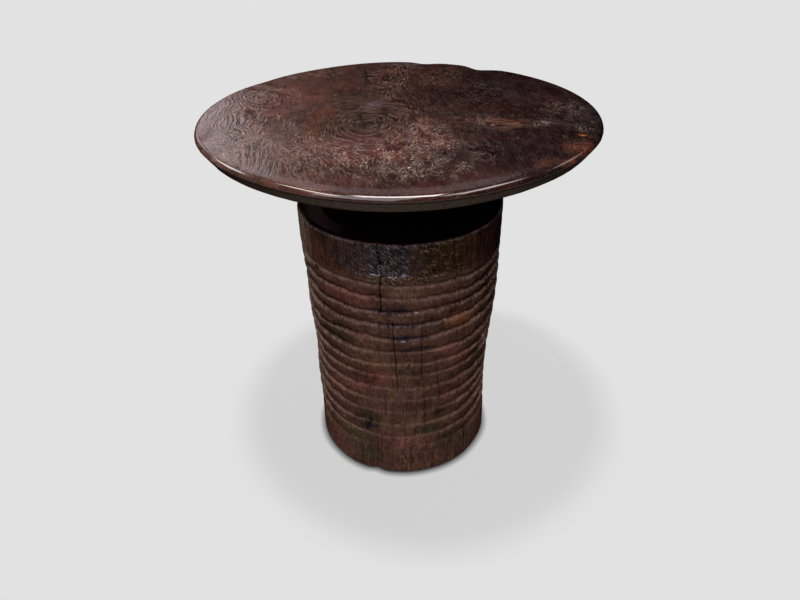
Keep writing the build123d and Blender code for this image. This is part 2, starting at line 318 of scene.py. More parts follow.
def make_piece(name, corners, faces, attributes, material, node):
    """A smooth mesh piece that stands for a CAD node and rides on the table's one body."""
    mesh = bpy.data.meshes.new(name)
    mesh.from_pydata((corners * MM).tolist(), [], faces)
    mesh.validate()
    mesh.polygons.foreach_set("use_smooth", np.ones(len(mesh.polygons), bool))
    for label, values in attributes.items():
        values = np.asarray(values, np.float32)
        if values.ndim == 1:
            mesh.attributes.new(label, "FLOAT", "POINT").data.foreach_set("value", values)
        else:
            full = np.ones((len(values), 4), np.float32)
            full[:, :3] = values
            mesh.attributes.new(label, "FLOAT_COLOR", "POINT").data.foreach_set("color", full.ravel())
    mesh.materials.append(material)
    piece = bpy.data.objects.new(name, mesh)
    bpy.context.scene.collection.objects.link(piece)
    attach(piece, "root")
    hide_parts(node)


def band_faces(lower, upper):
    """Quads between two closed rows of corners."""
    return list(zip(lower, lower[1:] + lower[:1], upper[1:] + upper[:1], upper))


# ---------------------------------------------------------------- the drum


def blend(start, end, share):
    """From start to end along half a wave."""
    return start + (end - start) * (1 - np.cos(math.pi * np.clip(share, 0, 1))) / 2


def drum_radius(z):
    """The turned outline of the log before the rings are cut."""
    lower = blend(FOOT_RADIUS, WAIST_RADIUS, (z - FOOT_Z) / (WAIST_Z - FOOT_Z))
    upper = blend(WAIST_RADIUS, RIM_RADIUS, (z - WAIST_Z) / (SHOULDER_Z - WAIST_Z))
    return np.where(z < WAIST_Z, lower, upper)


def log_shape(angle, z):
    """How far the log departs from a round one."""
    lean = hump_at(angle, 180, 48) * (4.5 * hump(z, 132, 50) - 4.0 * hump(z, 322, 42))
    return lean + layered(around_noise, angle, z, (1.3, 160, 190, 1), (0.5, 42, 120, 2))


def wall_heights():
    """Heights of the rows of the outer wall, upwards, with a row on each edge of each ring."""
    heights = list(np.linspace(FOOT_Z + FOOT_ROUND, GROOVES[0], 15)[:-1])
    for low, high in zip(GROOVES, GROOVES[1:]):
        heights += [low + (high - low) * share for share in RING_ROWS]
    return np.array(heights + list(np.linspace(BAND_Z, RIM_Z - RIM_ROUND, 30)))


def ring_relief(z):
    """0 on a ring's belly and 1 in a groove."""
    ring = np.clip(np.searchsorted(GROOVES, z, side="right") - 1, 0, len(GROOVES) - 2)
    low = np.array(GROOVES)[ring]
    high = np.array(GROOVES)[ring + 1]
    share = np.clip((z - low) / (high - low), 0, 1)
    face = (1 - np.minimum(share / BELLY, 1)) ** 1.6
    crown = LEDGE_FALL * np.clip((share - BELLY) / (LEDGE - BELLY), 0, 1) ** 2
    ledge = (1 - LEDGE_FALL) * np.clip((share - LEDGE) / (1 - LEDGE), 0, 1)
    foot_side = np.clip((GROOVES[0] - z) / 7, 0, 1)
    rim_side = np.clip((z - BAND_Z) / 5, 0, 1)
    relief = np.where(z < GROOVES[0], 1 - foot_side, face + crown + ledge)
    return np.where(z >= BAND_Z, (1 - rim_side) ** 2, relief)


def ring_wear(angle, z):
    """How much of the rings is left: they are worn near the foot, and most of all at the front."""
    most = 0.20 + 0.60 * hump_at(angle, FRONT - 2, 36)
    return (1 - most * (1 - ease(z, 150, 330))) * (1.20 - 0.60 * hump_at(angle, FRONT, 46))


def on_band(z):
    """0 on the rings and 1 on the plain band under the rim."""
    return ease(z, BAND_Z + 2, BAND_Z + 16)


def band_front(angle):
    """1 where the rim band is dressed and polished, at the front."""
    return hump_at(angle, -97, 17)


def sill_level(angle):
    """Height of the uneven sill at the front of the rim band."""
    return SILL_Z + 1.6 * around_noise(angle, 0, 14, 1, 15)


def check_cuts(z, columns):
    """Turns columns of corners onto the checks. Returns the turned angles and the depth of the cuts."""
    count = len(columns)
    angle = np.repeat(columns[None, :], len(z), 0)
    depth = np.zeros_like(angle)
    for path, deep in CHECKS:
        levels, turns = np.array(path[::-1], float).T
        centre = int(np.argmin(np.abs(turn_between(columns, turns.mean()))))
        step = (np.arange(count) - centre + count // 2) % count - count // 2
        away = np.abs(step)
        active = ease(z, levels[0] - CHECK_FADE, levels[0] + CHECK_FADE)
        if levels[-1] < RIM_Z:
            active = active * (1 - ease(z, levels[-1] - CHECK_FADE, levels[-1] + CHECK_FADE))
        shift = turn_between(np.interp(z, levels, turns), columns[centre]) + 0.25 * noise(z / 9, deep, 5)
        pull = np.clip(1 - (away / REACH) ** 2, 0, 1) ** 2
        near = np.minimum(away, REACH)
        squeeze = np.interp(near, PULLED_STEPS, PULLED_TURNS) - near * 360 / count
        angle += active[:, None] * (shift[:, None] * pull + np.sign(step) * squeeze)
        depth = np.maximum(depth, active[:, None] * np.interp(away, CUT_STEPS, CUT_SHARES) * deep)
    return angle, depth


def sunk_marks(angle, z):
    """Depth of the flute in the foot, and of the knot holes and pits."""
    across = np.clip(1 - np.abs(turn_between(angle, FLUTE_ANGLE) / FLUTE_HALF_WIDTH) ** 1.3, 0, 1)
    flute = FLUTE_DEPTH * across * (1 - ease(z, FOOT_Z + 0.35 * FLUTE_HEIGHT, FOOT_Z + FLUTE_HEIGHT))
    hollow = np.zeros_like(z)
    for level, turn, half_height, half_width, deep in PITS:
        away = ((z - level) / half_height) ** 2 + (turn_between(angle, turn) / half_width) ** 2
        hollow = np.maximum(hollow, deep * np.clip(1 - away, 0, 1) ** 0.7)
    return flute, hollow


def carved_radius(angle, z, in_rings, worn):
    """The log's radius with rings cut in short strokes, ripples and chips, and the dressed rim band."""
    strokes = 1 + layered(around_noise, angle, z, (0.42, 60, 24, 7), (0.34, 15, 12, 8))
    overhang = 2.0 * hump_at(angle, -150, 22) * hump(z, BAND_Z, 6)
    radius = drum_radius(z) + log_shape(angle, z) - RING_DEPTH * strokes * worn * ring_relief(z) - overhang
    ripple = layered(around_noise, angle, z, (0.22, 5.5, 60, 9), (0.16, 9, 14, 10))
    chips = np.clip(around_noise(angle, z, 8, 7, 12) - 0.45, 0, 1) * 1.3
    radius = radius + ripple - chips * in_rings

    # The front of the rim band stands back a little above a soft ridge.
    sill = sill_level(angle)
    stand_back = 2.0 * ease(z, sill, sill + 3.5) * (1 - 0.8 * ease(z, 410, 436))
    radius = radius + band_front(angle) * (0.5 * hump(z, sill - 1, 5) - stand_back)
    return radius + on_band(z) * 0.35 * around_noise(angle, z, 13, 11, 13)


def wall_looks(angle, z, worn):
    """Where the outer wall's edges are rubbed and lit by a painted highlight, where it is polished with a
    painted sheen, where it has painted glints, and where the band is.
    """
    # The rim's edge and the ledges are lightened: rubbed wood and a painted highlight.
    arris = 0.5 * hump(z, RIM_Z - RIM_ROUND, 1.2)
    for low, high in zip(GROOVES, GROOVES[1:]):
        arris = arris + 0.9 * hump(z, low + LEDGE * (high - low), 2.0) * (0.22 + 0.88 * worn)
    front = band_front(angle)
    # The polished band, whose colour also carries a painted sheen.
    polish_and_sheen = np.maximum(front, 0.8 * hump_at(angle, -73, 13)) * ease(z, BAND_Z - 3, BAND_Z + 3)
    broken = ease(around_noise(angle, z, 6, 40, 16), -0.5, 0.3)
    # A painted highlight along the sill at the front of the band, and painted glints on the ledges.
    glint = 1.2 * ease(front, 0.3, 0.8) * hump(z, sill_level(angle) + 1.5, 1.0) * (0.4 + 0.6 * broken)
    for level, turn, half_width in GLINTS:
        glint = np.maximum(glint, 0.8 * hump_at(angle, turn, half_width) * hump(z, level, 1.5))
    arris = np.clip(arris, 0, 1)
    return {"arris": arris, "polish_and_sheen": polish_and_sheen, "glint": np.clip(glint, 0, 1), "band": on_band(z)}


def outer_wall():
    """The outer wall as rows upwards: angles, heights, radii, and what the material needs to know."""
    levels = wall_heights()
    angle, check = check_cuts(levels, COLUMN_TURNS)
    z = np.repeat(levels[:, None], COLUMNS, 1)
    in_rings = ease(z, GROOVES[0] - 20, GROOVES[0] + 8) * (1 - ease(z, BAND_Z - 2, BAND_Z + 26))
    worn = ring_wear(angle, z)
    flute, hollow = sunk_marks(angle, z)
    nick = hump_at(angle, NICK_ANGLE, 0.9) * ease(z, RIM_Z - 9, RIM_Z - 3)
    radius = carved_radius(angle, z, in_rings, worn) - flute - np.maximum(check, hollow) - 1.8 * nick
    waves = ((3.6, 120, 40, 3), (1.6, 34, 24, 4), (0.9, 12, 20, 6), (1.1, 4.4, 9, 14))
    height = z + layered(around_noise, angle, z, *waves) * in_rings
    looks = wall_looks(angle, z, worn)
    # Painted shade: darker in the grooves, checks, pits, flute and nick.
    painted_shade = np.clip(ring_relief(z) ** 2.2 * in_rings * worn, 0, 1) * 0.85
    painted_shade = painted_shade + check / 2.2 + hollow / 3 + flute / FLUTE_DEPTH * 0.25 + nick * 0.6
    looks["painted_shade"] = np.clip(painted_shade, 0, 1)
    return angle, height, radius, looks


def rim_rows(angle, radius, painted_shade):
    """Rows over the rounded rim: angle, height, radius, painted shade and arris. The rim's flat top is
    darkened as painted shadow of the tabletop, and its outer edge gets a painted highlight.
    """
    lift = layered(around_noise, angle, 0, (0.5, 40, 1, 20), (0.3, 9, 1, 21))
    nick = hump_at(angle, NICK_ANGLE, 1.2)
    rows = []
    for turn, arris in ((30, 0.7), (60, 0.05), (90, 0.05)):
        share = turn / 90
        out = radius - RIM_ROUND * (1 - math.cos(math.radians(turn)))
        up = RIM_Z - RIM_ROUND * (1 - math.sin(math.radians(turn))) + (lift - 1.4 * nick) * share
        dark = np.maximum(np.clip(painted_shade * 0.8 + nick * 0.5, 0, 1), share - 0.4)
        rows.append((angle, up, out, dark, arris))
    inner_edge = MOUTH_RADIUS + 0.8 * around_noise(angle, 0, 30, 1, 22)
    for share in (0.35, 0.7):
        out = (radius - RIM_ROUND) * (1 - share) + inner_edge * share
        deep = 0.5 * share + painted_shade * 1.2 * (1 - share)
        rows.append((angle, RIM_Z + lift - deep - nick, out, 0.8, 0))
    return rows


def inner_rows():
    """Rows down the drum's mouth, in over the ledge under the board, and down the bore, all darkened by
    painted shade, least on the mouth's left wall, where it stands for light falling in.
    """
    mouth_z = RIM_Z - 2.2
    rows = [(RIM_Z - 0.8, MOUTH_RADIUS + 0.6, 0.8), (mouth_z, MOUTH_RADIUS, 0.85)]
    # Painted shade in the mouth, lighter on its left.
    shade = 0.80 - 0.70 * hump_at(COLUMN_TURNS, -165, 40)
    for share in (0.15, 0.55, 1):
        rows.append((mouth_z + (LEDGE_Z - mouth_z) * share, MOUTH_RADIUS, shade))
    for share in (0.33, 0.66, 1):
        rows.append((LEDGE_Z, MOUTH_RADIUS + (BORE_RADIUS - MOUTH_RADIUS) * share, 0.9))
    for share in np.linspace(0, 1, 12)[1:-1]:
        level = LEDGE_Z + (FOOT_Z - LEDGE_Z) * share
        rows.append((level, BORE_RADIUS + 0.8 * around_noise(COLUMN_TURNS, level, 22, 60, 24), 0.75))
    rows.append((FOOT_Z, BORE_RADIUS, 0.5))
    return [(COLUMN_TURNS, level, out, painted_shade, 0) for level, out, painted_shade in rows]


def foot_rows(angle, radius, painted_shade):
    """Rows out under the foot and up its rounded edge."""
    rows = []
    for share in (0.3, 0.6):
        rows.append((angle, FOOT_Z, BORE_RADIUS + (radius - FOOT_ROUND - BORE_RADIUS) * share, 0.4, 0))
    for turn in (0, 30, 60):
        out = radius - FOOT_ROUND * (1 - math.sin(math.radians(turn)))
        up = FOOT_Z + FOOT_ROUND * (1 - math.cos(math.radians(turn)))
        rows.append((angle, up, out, painted_shade, 0.5))
    return rows


def log_stain_light_and_shade(angle, z):
    """The log's colour before its fibres, from a few soft patches with ragged edges: stains, and painted
    light and shade.
    """
    # The band under the rim takes the darker brown, partly painted shadow of the tabletop.
    band = on_band(z)[..., None]
    colour = np.array(LOG_BROWN) * (1 - band) + np.array(BAND_BROWN_AND_SHADOW) * band
    ragged = angle + layered(around_noise, angle, z, (2.6, 16, 26, 50), (1.3, 6, 20, 51))
    level_noise = layered(around_noise, angle, z, (3, 24, 30, 52), (1.5, 7, 12, 53))
    for level, turn, half_height, half_width, strength, base_colour in LOG_STAINS_LIGHT_AND_SHADE:
        across = turn_between(ragged, turn) / half_width
        upright = (z + level_noise - level) / half_height
        share = min(1.25 * strength, 1) * np.exp(-(across ** 2 + upright ** 2) ** 1.5)[..., None]
        colour = colour * (1 - share) + np.array(base_colour) * share
    mottle = 1 + layered(around_noise, angle, z, (0.22, 30, 34, 54), (0.16, 11, 16, 55))
    return colour * mottle[..., None]


def make_drum(material):
    """The log: outer wall, rounded rim, the seat for the board, the bore, and the rounded foot."""
    angle, height, radius, looks = outer_wall()
    rows = list(zip(angle, height, radius, looks["painted_shade"], looks["arris"]))
    rows += rim_rows(angle[-1], radius[-1], looks["painted_shade"][-1])
    inside = len(rows)
    rows += inner_rows() + foot_rows(angle[0], radius[0], looks["painted_shade"][0])
    turn, level, out, painted_shade, arris = (
        np.stack([np.broadcast_to(row[i], COLUMNS) for row in rows]) for i in range(5)
    )
    corners = np.stack([out * np.cos(np.radians(turn)), out * np.sin(np.radians(turn)), level], -1)
    order = np.arange(turn.size).reshape(turn.shape).tolist()
    faces = []
    for lower, upper in zip(order, order[1:] + order[:1]):
        faces += band_faces(lower, upper)
    base_colour = log_stain_light_and_shade(turn, level)
    base_colour[inside:] = INNER_BROWN
    rest = np.zeros(turn.size - height.size)
    attributes = {
        "base_colour": base_colour.reshape(-1, 3),
        "painted_shade": painted_shade.ravel(),
        "arris": arris.ravel(),
        "polish_and_sheen": np.concatenate([looks["polish_and_sheen"].ravel(), rest]),
        "glint": np.concatenate([looks["glint"].ravel(), rest]),
        "band": np.concatenate([looks["band"].ravel(), rest + 1]),
    }
    make_piece("carved_log", corners.reshape(-1, 3), faces, attributes, material, "drum_shell")


# ---------------------------------------------------------------- the tabletop


def outline_radius(angle):
    """Distance of the slab's edge from the middle of the log it was cut from."""
    radius = np.full(np.shape(angle), TOP_RADIUS, float)
    for turn, height, half_width in EDGE_SWELLS:
        radius = radius + height * hump_at(angle, turn, half_width)
    return radius


def outline_centre():
    """Middle of the outline's box, which stands on the drum's axis."""
    angle = np.radians(np.linspace(0, 360, 1441))
    radius = outline_radius(np.degrees(angle))
    x = radius * np.cos(angle)
    y = radius * np.sin(angle)
    return np.array([x.min() + x.max(), y.min() + y.max()]) / 2


# Whorls in the grain: x, y, half sizes across and along, turn, how many rings, how strongly they show.
WHORLS = (
    (-205, 84, 48, 84, 24, 8, 0.75),
    (-222, -112, 34, 46, -20, 5, 0.70),
    (-116, -108, 36, 64, -30, 8, 0.85),
    (-150, 196, 34, 50, 10, 5, 0.35),
    (122, 88, 40, 64, -12, 6, 0.22),
    (70, 36, 16, 30, 0, 3, 0.28),
    (146, -60, 72, 17, -3, 4, 0.55),
    (84, -146, 34, 56, 6, 5, 0.30),
    (16, -170, 44, 44, 10, 5, 0.50),
    (226, -150, 34, 44, -40, 4, 0.22),
    (232, 4, 30, 44, 0, 4, 0.32),
    (-40, 168, 26, 84, 4, 4, 0.35),
    (-43, -50, 92, 134, -6, 19, 0.60),
)

# Where the strands between the whorls show: x, y, half sizes across and along, turn, strength.
STRANDS = (
    (-4, 170, 22, 130, -4, 0.90),
    (-70, 60, 60, 40, 10, 0.45),
    (70, 180, 36, 70, -30, 0.50),
    (-150, 60, 60, 70, 0, 0.12),
    (-60, -190, 120, 50, 0, 0.55),
    (-225, -20, 60, 130, 0, 0.60),
    (20, -60, 60, 90, 0, 0.24),
    (-110, 210, 30, 60, 0, 0.45),
)

# Where the wood is curly, with real and painted glints: x, y, half sizes across and along, turn, strength.
CURLS = (
    (-40, -165, 90, 46, 0, 1.0),
    (30, -118, 46, 60, 0, 1.0),
    (-20, -60, 50, 60, 0, 0.18),
    (60, 10, 40, 50, 0, 0.12),
    (95, -150, 40, 46, 0, 0.16),
    (0, -212, 80, 34, 0, 0.85),
    (225, 0, 40, 50, 0, 0.26),
    (244, -70, 14, 16, 0, 0.9),
    (-212, -120, 48, 56, 0, 1.0),
    (-228, 70, 40, 76, 0, 0.8),
    (-130, -130, 50, 50, 0, 0.5),
    (20, 262, 60, 24, 0, 0.60),
    (190, -68, 14, 12, 0, 0.8),
    (100, -36, 26, 20, 0, 0.6),
)

# Soft patches of colour: x, y, half sizes across and along, turn, strength and linear colour.
RUST = (0.066, 0.0185, 0.0085)
EMBER = (0.095, 0.024, 0.010)
PLUM = (0.0055, 0.0015, 0.0029)
SLATE = (0.0066, 0.0041, 0.0052)
SOOT = (0.007, 0.004, 0.004)
ASH = (0.052, 0.034, 0.031)
ROSE = (0.056, 0.0185, 0.0150)
UMBER = (0.023, 0.012, 0.0075)
COCOA = (0.017, 0.0095, 0.0070)
PATCHES = (
    (-200, -20, 80, 200, 0, 0.55, ASH),
    (-172, 60, 56, 96, -10, 0.70, ROSE),
    (-165, 114, 20, 26, 0, 0.30, RUST),
    (-107, -38, 17, 84, 0, 0.95, RUST),
    (-270, -60, 14, 90, 4, 0.80, RUST),
    (-100, -110, 22, 30, 0, 0.45, RUST),
    (-46, -50, 74, 114, -4, 0.93, (0.0064, 0.0024, 0.0017)),
    (-52, 10, 50, 14, -6, 0.75, (0.013, 0.006, 0.005)),
    (-40, 66, 60, 50, 0, 0.70, (0.0125, 0.0066, 0.0045)),
    (-33, 42, 15, 9, 12, 0.70, (0.038, 0.024, 0.036)),
    (-52, 190, 22, 74, 2, 0.75, (0.014, 0.0066, 0.0090)),
    (-95, 200, 22, 90, 0, 0.45, UMBER),
    (10, 262, 36, 44, 0, 0.70, SLATE),
    (0, 130, 24, 90, 0, 0.45, COCOA),
    (-50, -150, 90, 44, 0, 0.70, ROSE),
    (22, -110, 44, 44, 0, 0.80, ROSE),
    (45, -60, 26, 34, 0, 0.75, (0.045, 0.0145, 0.0115)),
    (30, 20, 30, 60, 0, 0.75, (0.0165, 0.0050, 0.0040)),
    (88, 56, 74, 80, 0, 0.97, (0.0068, 0.0019, 0.0015)),
    (60, 170, 60, 60, -20, 0.55, UMBER),
    (-20, -215, 130, 26, 0, 0.50, COCOA),
    (120, 170, 44, 46, 0, 0.80, PLUM),
    (158, 100, 22, 60, 10, 0.85, SLATE),
    (205, 130, 26, 46, 20, 0.70, PLUM),
    (195, 40, 46, 50, 0, 0.60, (0.014, 0.0050, 0.0038)),
    (84, -80, 42, 52, 0, 0.80, (0.0095, 0.0029, 0.0024)),
    (75, -12, 40, 11, -3, 0.90, SOOT),
    (112, -34, 24, 16, 0, 0.75, SLATE),
    (146, -52, 46, 14, -3, 0.75, (0.052, 0.0165, 0.0090)),
    (146, -62, 26, 5, -3, 0.90, SOOT),
    (225, -62, 64, 16, -4, 0.85, SOOT),
    (130, -92, 80, 9, -4, 0.70, SLATE),
    (141, -124, 30, 8, -3, 0.75, UMBER),
    (110, -165, 74, 48, 0, 0.92, PLUM),
    (48, -180, 14, 22, 0, 0.80, SOOT),
    (170, -150, 40, 44, 10, 0.85, PLUM),
    (252, -20, 26, 60, 0, 0.80, SLATE),
    (235, -108, 4, 6, 0, 0.85, (0.30, 0.080, 0.024)),
    (226, -150, 20, 24, -40, 0.65, (0.042, 0.0105, 0.0060)),
    (208, -184, 9, 12, -40, 0.90, EMBER),
    (178, -205, 26, 10, 26, 0.60, (0.042, 0.0140, 0.0080)),
    (-140, -8, 8, 60, -36, 0.60, (0.024, 0.008, 0.007)),
    (-120, 30, 6, 34, -36, 0.60, (0.022, 0.008, 0.007)),
)
LEFT_BROWN = (0.050, 0.022, 0.017)
MIDDLE_BROWN = (0.0205, 0.0062, 0.0046)
RIGHT_BROWN = (0.0055, 0.0013, 0.0013)
RING_WIDTH = 4.6


def turned_offsets(x, y, centre_x, centre_y, turn):
    """Offsets from a centre, in axes turned by that many degrees."""
    cosine = math.cos(math.radians(turn))
    sine = math.sin(math.radians(turn))
    return (x - centre_x) * cosine + (y - centre_y) * sine, (y - centre_y) * cosine - (x - centre_x) * sine


def soft_spot(x, y, centre_x, centre_y, across, along, turn):
    """1 at the middle of a turned oval, falling to 0 around its edge."""
    u, v = turned_offsets(x, y, centre_x, centre_y, turn)
    return np.exp(-((u / across) ** 2 + (v / along) ** 2) ** 1.5)


def grain_field(x, y):
    """Millimetres of growth crossed at a point: its level lines are the figure of the wood."""
    drift_x = x + layered(flat_noise, x, y, (9, 60, 90, 30), (4.2, 20, 40, 31))
    drift_y = y + layered(flat_noise, x, y, (14, 70, 80, 32), (7, 22, 40, 33))
    field = 0.95 * drift_x + 16 * flat_noise(x, y, 110, 150, 36)
    for centre_x, centre_y, across, along, turn, rings, _ in WHORLS:
        u, v = turned_offsets(drift_x, drift_y, centre_x, centre_y, turn)
        reach = np.sqrt((u / across) ** 2 + (v / along) ** 2 + 0.004)
        inside = 1 - ease(reach, 0.5, 1.3)
        whorl = 0.95 * centre_x + (1 - reach) * rings * RING_WIDTH
        field = field * (1 - inside) + whorl * inside
    return field + 1.6 * flat_noise(x, y, 10, 22, 34)


def shown_in(x, y, shapes, least):
    """How strongly something shows that is kept to a few soft shapes with ragged edges."""
    ragged_x = x + 8 * flat_noise(x, y, 30, 50, 70)
    ragged_y = y + 12 * flat_noise(x, y, 34, 46, 71)
    shown = np.full(len(x), float(least))
    for *shape, strength in shapes:
        shown = np.maximum(shown, strength * soft_spot(ragged_x, ragged_y, *shape))
    return shown


def figure_strength(x, y):
    """How strongly the lines of the grain show."""
    whorls = [
        (centre_x, centre_y, 1.15 * across, 1.15 * along, turn, strength)
        for centre_x, centre_y, across, along, turn, _, strength in WHORLS
    ]
    return shown_in(x, y, whorls + list(STRANDS), 0.06)


def stain_colour(x, y):
    """The slab's colour before its fine figure, from a few soft patches with ragged edges."""
    left = ease(-x, -20, 190)[:, None]
    right = ease(x, 10, 190)[:, None]
    colour = np.array(MIDDLE_BROWN) * (1 - left - right)
    colour = colour + np.array(LEFT_BROWN) * left + np.array(RIGHT_BROWN) * right
    ragged_x = x + 9 * rough_noise(x / 26, y / 60, 40)
    ragged_y = y + 14 * rough_noise(x / 34, y / 44, 44)
    for *shape, strength, patch in PATCHES:
        share = (strength * soft_spot(ragged_x, ragged_y, *shape))[:, None]
        colour = colour * (1 - share) + np.array(patch) * share
    return colour * (0.84 + 0.32 * rough_noise(x / 16, y / 34, 48))[:, None]


def disc_points(cells):
    """The corners of a square grid pressed onto the unit disc, row by row."""
    line = np.linspace(-1, 1, cells + 1)
    u, v = np.meshgrid(line, line)
    reach = np.maximum(np.abs(u), np.abs(v))
    steep = np.abs(v) > np.abs(u)
    safe_u = np.where(u == 0, 1, u)
    safe_v = np.where(v == 0, 1, v)
    angle = np.where(steep, np.pi / 2 - np.pi / 4 * u / safe_v, np.pi / 4 * v / safe_u)
    angle = np.where(reach == 0, 0, angle)
    reach = reach * np.where(steep, np.sign(v), np.sign(u))
    return (reach * np.cos(angle)).ravel(), (reach * np.sin(angle)).ravel()


def rim_indices(cells):
    """Indices of the grid's border corners, once around, anticlockwise."""
    side = cells + 1
    south = list(range(0, cells))
    east = [cells + side * i for i in range(cells)]
    north = [side * cells + cells - i for i in range(cells)]
    west = [side * (cells - i) for i in range(cells)]
    return south + east + north + west


def crest_inset(turn):
    """How far in from the outline the crest has turned down by that many degrees."""
    return CREST_RADIUS * (math.sin(math.radians(CREST_TURN)) - math.sin(math.radians(turn)))


def crest_level(turn):
    """The height at which the crest has turned down by that many degrees."""
    drop = math.cos(math.radians(ROLL_TURN)) - math.cos(math.radians(turn))
    return TOP_Z - ROLL_FALL - CREST_RADIUS * drop


def slab_profile():
    """Rows down the slab's edge: how far in from the outline, the height, and the share of the way in
    to the flat sole."""
    rows = [(crest_inset(turn), crest_level(turn), 0) for turn in (18, 26, 34, 42, 50, 60, 72, CREST_TURN)]
    side_top = crest_level(CREST_TURN)
    for share in (0.06, 0.25, 0.5, 0.75, 0.94):
        rows.append((SIDE_UNDERCUT * share, side_top - SIDE_HEIGHT * share, 0))
    side_foot = side_top - SIDE_HEIGHT
    for share in (0.02, 0.15, 0.3, 0.5, 0.7, 0.88, 1):
        rows.append((SIDE_UNDERCUT, side_foot + (SOLE_Z - side_foot) * share, share))
    return rows


def slab_face(centre):
    """The figured face, nearly flat, with its rolled border: corners, their angles, and quads."""
    unit_x, unit_y = disc_points(FACE_CELLS)
    angle = np.degrees(np.arctan2(unit_y, unit_x))
    face_edge = outline_radius(angle) - crest_inset(ROLL_TURN)
    reach = np.hypot(unit_x, unit_y) * face_edge
    x = reach * np.cos(np.radians(angle)) - centre[0]
    y = reach * np.sin(np.radians(angle)) - centre[1]
    swell = layered(flat_noise, x, y, (0.35, 60, 75, 60), (0.22, 19, 26, 61), (0.10, 8, 10, 62))
    inside = 1 - ease(np.hypot(unit_x, unit_y), 0.955, 1)
    roll = np.clip(1 - (face_edge - reach) / ROLL_WIDTH, 0, 1)
    z = np.minimum(TOP_Z, TOP_Z - ROLL_FALL * roll ** 2 + inside * (swell * 0.6 - 0.25))
    order = np.arange(len(x)).reshape(FACE_CELLS + 1, FACE_CELLS + 1)
    quads = np.stack([order[:-1, :-1], order[:-1, 1:], order[1:, 1:], order[1:, :-1]], -1)
    return np.stack([x, y, z], 1), angle, quads.reshape(-1, 4).tolist()


def edge_row(angle, centre, inset, level, inward):
    """One row of corners round the slab's edge, which is rough below the crest where bark was."""
    rough = 0.45 * noise(angle / 5, level / 6, 63, 72) + 0.25 * noise(angle / 2, level / 3, 64, 180)
    crest_share = np.clip((crest_level(26) - level) / 4, 0, 1)
    edge = outline_radius(angle) - inset + rough * (0.5 + 2.2 * hump_at(angle, 72, 34)) * crest_share
    cosine = np.cos(np.radians(angle))
    sine = np.sin(np.radians(angle))
    x = (edge * cosine - centre[0]) * (1 - inward) + SOLE_RADIUS * cosine * inward
    y = (edge * sine - centre[1]) * (1 - inward) + SOLE_RADIUS * sine * inward
    return np.stack([x, y, np.full(len(angle), level)], 1)


def make_slab(material):
    """The slab: a figured face on a fine grid, its rolled crest, the undercut side and the underside."""
    centre = outline_centre()
    face, angle, faces = slab_face(centre)
    corners = [face]
    border = rim_indices(FACE_CELLS)
    previous = border
    for profile_row in slab_profile():
        start = sum(len(row) for row in corners)
        corners.append(edge_row(angle[border], centre, *profile_row))
        following = list(range(start, start + len(border)))
        faces += band_faces(following, previous)
        previous = following
    faces.append(previous[::-1])
    corners = np.concatenate(corners)
    x, y, z = corners.T
    depth = (TOP_Z - z) / (TOP_Z - SOLE_Z)
    depth[:len(face)] = 0
    attributes = {
        "grain": grain_field(x, y) + 0.8 * (TOP_Z - z),
        "figure": figure_strength(x, y),
        "curl": shown_in(x, y, CURLS, 0.08),
        "base_colour": stain_colour(x, y),
        "edge": depth,
    }
    make_piece("burl_slab", corners, faces, attributes, material, "tabletop")


# ---------------------------------------------------------------- materials


